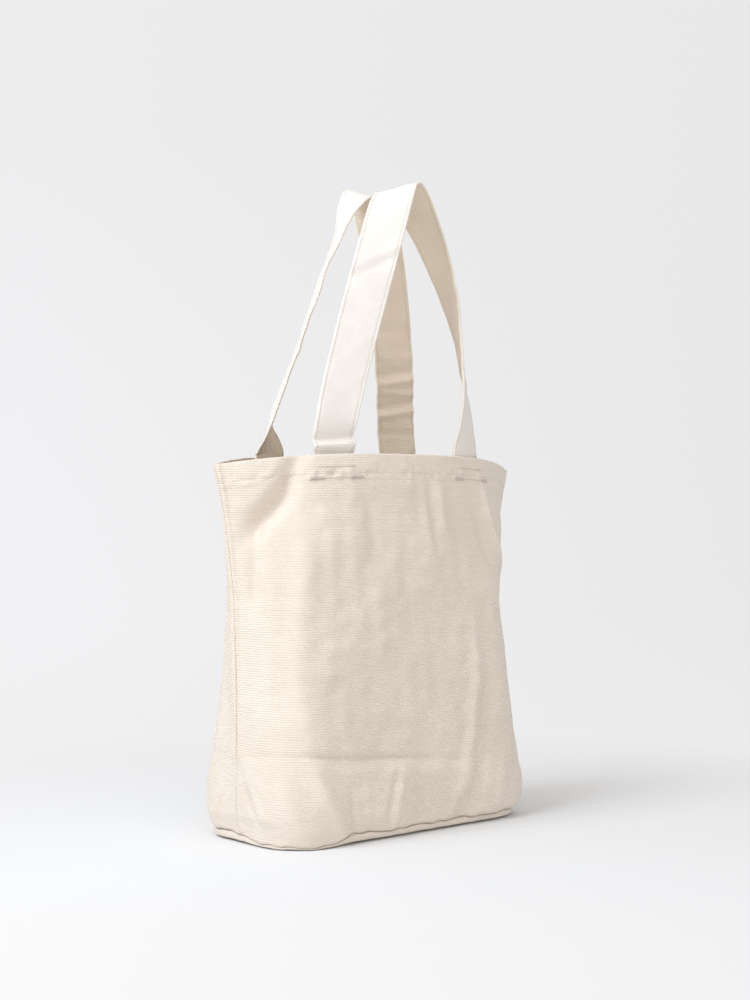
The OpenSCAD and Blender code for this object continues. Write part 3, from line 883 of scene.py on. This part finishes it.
def cloth_material(name, light, dark, inside, rib, warp, rib_depth, fleck=0.35):
    """Woven cotton: ribs across it, finer threads along it, slubs, soft patches, flecks, paler edges and
    raised folds, and painted shade in the grooves of the weave and on the inner side.
    """
    n = Nodes(name)
    place = n.add("Attribute", attribute_name="cloth").outputs["Vector"]
    paleness = n.add("Attribute", attribute_name="paleness").outputs["Fac"]
    inner = n.add("Attribute", attribute_name="inner").outputs["Fac"]
    split = n.add("SeparateXYZ", {0: place})
    wander = n.noise(place, 45, 2)
    run = n.math("MULTIPLY_ADD", wander, rib * 0.5, split.outputs[1])
    side = n.math("MULTIPLY_ADD", wander, warp * 0.3, split.outputs[0])
    ribs = n.math("ABSOLUTE", n.math("SINE", n.math("MULTIPLY", run, math.pi / rib)))
    offset = n.math("MULTIPLY", n.math("FLOOR", n.math("MULTIPLY", run, 1 / rib)), math.pi / 2)
    threads = n.math("ABSOLUTE", n.math("SINE", n.math("MULTIPLY_ADD", side, math.pi / warp, offset)))
    woven = n.math("MULTIPLY", ribs, n.math("MULTIPLY_ADD", threads, 0.42, 0.58))
    stretch = n.add("Mapping", {"Vector": place, "Scale": (70.0, 480.0, 1.0)}).outputs[0]
    slub = n.noise(stretch, 1.0, 3)
    fuzz = n.noise(place, 2600, 2)
    height = n.math("MULTIPLY_ADD", slub, 0.35, woven)
    height = n.math("MULTIPLY_ADD", fuzz, 0.30, height)
    patches = n.noise(place, 14, 4, 0.6)
    # Painted shade: the colour darkens in the grooves between the ribs and threads
    shade = n.math("MULTIPLY_ADD", woven, 0.40, 0.34)
    shade = n.math("ADD", shade, n.math("MULTIPLY_ADD", slub, 0.24, -0.12))
    shade = n.math("ADD", shade, n.math("MULTIPLY_ADD", patches, 0.7, -0.25))
    # Lighter where the cloth is marked paler
    shade = n.math("MULTIPLY_ADD", paleness, 0.22, shade)
    colour = n.mix(n.ramp(shade, 0.0, 1.0), (*dark, 1), (*light, 1))
    specks = n.add("TexVoronoi", {"Vector": place, "Scale": 240.0}).outputs["Distance"]
    chosen = n.ramp(n.noise(place, 90, 1), 0.66, 0.70)
    speck = n.math("MULTIPLY", n.ramp(specks, 0.16, 0.08), chosen)
    brown = tuple(channel * 0.55 for channel in dark)
    colour = n.mix(n.math("MULTIPLY", speck, fleck), colour, (*brown, 1))
    # Painted shade: the inner side of the cloth takes a warmer, darker tint
    colour = n.tinted(colour, inner, inside)
    n.join(colour, n.shader.inputs["Base Color"])
    n.join(n.math("MULTIPLY_ADD", fuzz, 0.10, 0.82), n.shader.inputs["Roughness"])
    n.shader.inputs["Specular IOR Level"].default_value = 0.25
    n.shader.inputs["Sheen Weight"].default_value = 0.2
    n.shader.inputs["Sheen Roughness"].default_value = 0.45
    bump = n.add("Bump", {"Height": height, "Distance": rib_depth, "Strength": 1.0})
    n.join(bump.outputs[0], n.shader.inputs["Normal"])
    return n.material


def thread_material(name, light, dark):
    """Twisted cotton thread, with painted shade in the grooves between its plies."""
    n = Nodes(name)
    place = n.add("Attribute", attribute_name="cloth").outputs["Vector"]
    split = n.add("SeparateXYZ", {0: place})
    twist = n.math("MULTIPLY_ADD", split.outputs[0], 3200.0, n.math("MULTIPLY", split.outputs[1], 5200.0))
    ply = n.math("ABSOLUTE", n.math("SINE", twist))
    hairs = n.noise(place, 3000, 2)
    # Painted shade: the colour darkens in the grooves between the plies
    colour = n.mix(n.math("MULTIPLY_ADD", hairs, 0.4, n.math("MULTIPLY", ply, 0.6)), (*dark, 1), (*light, 1))
    n.join(colour, n.shader.inputs["Base Color"])
    n.join(n.math("MULTIPLY_ADD", hairs, 0.2, 0.6), n.shader.inputs["Roughness"])
    n.shader.inputs["Sheen Weight"].default_value = 0.2
    n.shader.inputs["Specular IOR Level"].default_value = 0.3
    bump = n.add("Bump", {"Height": ply, "Distance": 0.00012, "Strength": 1.0})
    n.join(bump.outputs[0], n.shader.inputs["Normal"])
    return n.material


# ---- Pieces ----

# Light and dark colours of each cloth, then the tint of its inner side: a warm painted shade, white where
# there is none
CREAM, CREAM_LOW = (0.803, 0.713, 0.628), (0.683, 0.588, 0.497)
PALE, PALE_LOW = (0.845, 0.795, 0.748), (0.765, 0.705, 0.648)
INSIDE_SHADE = (0.96, 0.92, 0.88)
STRAP_INSIDE_SHADE = (1.0, 0.93, 0.82)
WHITE = (1.0, 1.0, 1.0)
TAPE, TAPE_LOW = (0.86, 0.80, 0.72), (0.76, 0.68, 0.59)
THREAD, THREAD_LOW = (0.84, 0.775, 0.70), (0.60, 0.53, 0.46)
TACK, TACK_LOW = (0.72, 0.65, 0.58), (0.40, 0.34, 0.29)
RIBS = (0.0021, 0.0017, 0.00036)  # rib, warp and depth of the canvas
STRAP_RIBS = (0.0013, 0.0011, 0.00022)
TAPE_RIBS = (0.0009, 0.0009, 0.00016)

canvas = cloth_material("ribbed_canvas", CREAM, CREAM_LOW, INSIDE_SHADE, *RIBS)
base_canvas = cloth_material("base_canvas", CREAM, CREAM_LOW, WHITE, *RIBS)
strap_canvas = cloth_material("strap_canvas", PALE, PALE_LOW, STRAP_INSIDE_SHADE, *STRAP_RIBS, fleck=0.25)
tape_cloth = cloth_material("binding_tape", TAPE, TAPE_LOW, WHITE, *TAPE_RIBS, fleck=0.1)
thread = thread_material("cotton_thread", THREAD, THREAD_LOW)
tack_thread = thread_material("tack_thread", TACK, TACK_LOW)


def finish_piece(piece, material, slot, body, *nodes):
    """Give a piece its material, hide the CAD nodes it stands for and, if a body is given, attach the piece
    to it. The slot is not used.
    """
    piece.data.materials.append(material)
    if nodes:
        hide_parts(*nodes)
    if body:
        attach(piece, body)


def bend_strap(piece):
    """Bake the piece's place into its mesh."""
    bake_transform(piece)


base = make_base("base_cloth")
finish_piece(base, base_canvas, "canvas", "bag", "base_panel")
for side_name, is_back in (("front", False), ("back", True)):
    panel = make_panel(side_name + "_cloth", is_back)
    finish_piece(panel, canvas, "canvas", "bag", side_name + "_panel")
    hem_thread = make_hem_thread(side_name + "_hem_thread", is_back)
    finish_piece(hem_thread, thread, "thread", "bag", side_name + "_hem_stitching")

for side_name, sign in (("left", -1), ("right", 1)):
    tape = make_side_tape(side_name + "_seam_tape", sign)
    finish_piece(tape, tape_cloth, "binding", "bag", side_name + "_seam_binding")
    finish_piece(make_side_tape_thread(side_name + "_seam_tape_thread", sign), thread, "thread", "bag")

finish_piece(make_base_tape("base_seam_tape"), tape_cloth, "binding", "bag", "base_seam_binding")
finish_piece(make_base_thread("base_seam_thread"), thread, "thread", "bag", "base_seam_stitching")

straps = {
    "front": (Strap(FRONT_ROUTE, FRONT_CREASES, 23), -1, "front_handle", ("left", "right")),
    "rear": (Strap(REAR_ROUTE, REAR_CREASES, 31), 1, "rear_handle", ("right", "left")),
}
for which, (strap, sign, handle, ends) in straps.items():
    loop = make_strap(which + "_strap_loop", strap)
    nodes = [which + "_strap"] + [f"{which}_strap_{end}_end" for end in ends]
    finish_piece(loop, strap_canvas, "strap", None, *nodes)
    bend_strap(loop)
    row = make_strap_thread(which + "_strap_thread", strap)
    finish_piece(row, thread, "thread", None, which + "_strap_edge_stitching")
    bend_strap(row)
    for number, end in enumerate(ends):
        name = f"{which}_{end}_anchor"
        local = (-1 if end == "left" else 1) * (1 if which == "front" else -1)
        anchor = make_anchor_thread(name + "_thread", local, which == "rear", strap, number == 0)
        finish_piece(anchor, tack_thread, "thread", "bag", name + "_stitching")


# ---- Studio ----

VIEW_TURN = math.radians(-38)
VIEW_FAR = 1.590
EYE_Z = 0.288
CAMERA_TILT, CAMERA_TURN = math.radians(90.4), math.radians(-38.247)
LENS_MM = 61.7

VIEW_RIGHT, VIEW_NEARER = (0.788, -0.616), (-0.616, -0.788)  # ways over the floor, as the camera sees it
PAINT_LOW, PAINT_HIGH = (0.785, 0.787, 0.792, 1), (0.805, 0.807, 0.812, 1)
# Painted light of the room, from its left to its right: glowing greys of the wall at the floor, its top, and
# the floor in front, lighter on the left towards the key lamp
WALL = (0.908, 0.896, 0.918, 1), (0.806, 0.802, 0.803, 1)
TOP = (0.850, 0.842, 0.858, 1), (0.812, 0.810, 0.812, 1)
FRONT_FLOOR = (0.972, 0.970, 0.970, 1), (0.882, 0.882, 0.894, 1)

FLOOR_Z = -0.0002
FLOOR_EDGE, WALL_FOOT, WALL_CURVE = 2.3, 2.4, 1.6


def make_camera():
    data = bpy.data.cameras.new("photo_camera")
    data.lens = LENS_MM
    data.sensor_width = 36
    data.clip_start, data.clip_end = 0.05, 50
    camera = bpy.data.objects.new("photo_camera", data)
    camera.location = (math.sin(VIEW_TURN) * VIEW_FAR, -math.cos(VIEW_TURN) * VIEW_FAR, EYE_Z)
    camera.rotation_euler = (CAMERA_TILT, 0, CAMERA_TURN)
    bpy.context.scene.collection.objects.link(camera)
    bpy.context.scene.camera = camera


def stage_material(name, is_floor):
    """A pale painted surface, lit by the lamps near the bag; further out, and over the whole wall, it glows
    in greys that are painted light.
    """
    n = Nodes(name)
    place = n.add("TexCoord").outputs["Object"]
    split = n.add("SeparateXYZ", {0: place})
    pale = n.mix(n.noise(place, 3.0, 3), PAINT_LOW, PAINT_HIGH)
    n.join(pale, n.shader.inputs["Base Color"])
    n.shader.inputs["Roughness"].default_value = 0.9
    n.shader.inputs["Specular IOR Level"].default_value = 0.1
    across = n.along(split, VIEW_RIGHT)
    sideways = n.ramp(across, -1.2, 1.2)
    height = n.ramp(split.outputs[2], 0.0, 1.5)
    colour = n.mix(height, n.mix(sideways, *WALL), n.mix(sideways, *TOP))
    share = 1.0
    if is_floor:
        flat = n.add("CombineXYZ", {0: split.outputs[0], 1: split.outputs[1]}).outputs[0]
        radius = n.add("VectorMath", {0: flat}, operation="LENGTH").outputs["Value"]
        nearer = n.along(split, VIEW_NEARER)
        front = n.mix(n.ramp(across, -0.3, 0.3), *FRONT_FLOOR)
        colour = n.mix(n.ramp(nearer, 0.12, 0.45), colour, front)
        share = n.math("MAXIMUM", n.ramp(radius, 0.19, 0.68), n.ramp(nearer, 0.18, 0.45))
    # The glow is painted light: it stands in for the lamps' light on the floor and wall, brighter to the left
    glow = n.add("Emission", {"Color": colour, "Strength": 1.0})
    mixed = n.add("MixShader", {0: share, 1: n.shader.outputs[0], 2: glow.outputs[0]})
    n.tree.links.new(mixed.outputs[0], n.tree.nodes["Material Output"].inputs["Surface"])
    return n.material


def bowl(name, profile, material):
    """A surface of revolution from a profile of (radius, height) points."""
    sides = 96
    turns = np.arange(sides) * 2 * math.pi / sides
    rows = [[(r * math.cos(t), r * math.sin(t), z) for t in turns] for r, z in profile]
    points = np.array(rows).reshape(-1, 3)
    faces = []
    for i in range(len(profile) - 1):
        for j in range(sides):
            k = (j + 1) % sides
            faces.append((i * sides + j, i * sides + k, (i + 1) * sides + k, (i + 1) * sides + j))
    piece = new_object(name, points, faces)
    piece.data.materials.append(material)
    return piece


def make_stage():
    """A floor, and a wall that curves up from it and is only seen by the camera."""
    flat = [(0.001, FLOOR_Z)] + [(r, FLOOR_Z) for r in np.linspace(0.1, FLOOR_EDGE, 23)]
    bowl("studio_floor", flat, stage_material("floor_paint_and_painted_light", True))
    sweep = [(FLOOR_EDGE, FLOOR_Z), (WALL_FOOT, FLOOR_Z)]
    for a in np.radians(np.arange(6, 91, 6)):
        sweep.append((WALL_FOOT + WALL_CURVE * math.sin(a), WALL_CURVE * (1 - math.cos(a))))
    sweep += [(4.0, 3.0), (4.0, 6.0)]
    wall = bowl("studio_backdrop", sweep, stage_material("backdrop_painted_light", False))
    wall.visible_diffuse = False
    wall.visible_glossy = False
    wall.visible_shadow = False


def add_light(name, place, aim, size, power, colour):
    """A round soft light at a place, turned to what it is aimed at."""
    data = bpy.data.lights.new(name, "AREA")
    data.shape = "DISK"
    data.size = size
    data.energy = power
    data.color = colour
    lamp = bpy.data.objects.new(name, data)
    lamp.location = place
    way = np.array(aim) - np.array(place)
    flat = math.hypot(way[0], way[1])
    lamp.rotation_euler = (math.atan2(flat, -way[2]), 0, math.atan2(way[1], way[0]) - math.pi / 2)
    bpy.context.scene.collection.objects.link(lamp)


def light_studio():
    """Soft light from all round, a lamp at the upper left and a weaker one in front."""
    world = bpy.data.worlds.new("studio")
    world.use_nodes = True
    background = world.node_tree.nodes["Background"]
    background.inputs["Color"].default_value = (1.0, 0.985, 0.965, 1)
    background.inputs["Strength"].default_value = 0.72
    bpy.context.scene.world = world
    add_light("key", (-1.80, -0.15, 1.75), (0, 0, 0.18), 1.3, 37, (0.93, 1.0, 1.08))
    add_light("front_fill", (-1.0, -2.1, 0.6), (0, 0, 0.15), 1.6, 8.5, (1.0, 0.99, 0.98))
    bpy.context.scene.view_settings.view_transform = "Standard"
    bpy.context.scene.view_settings.look = "None"


make_camera()
make_stage()
light_studio()
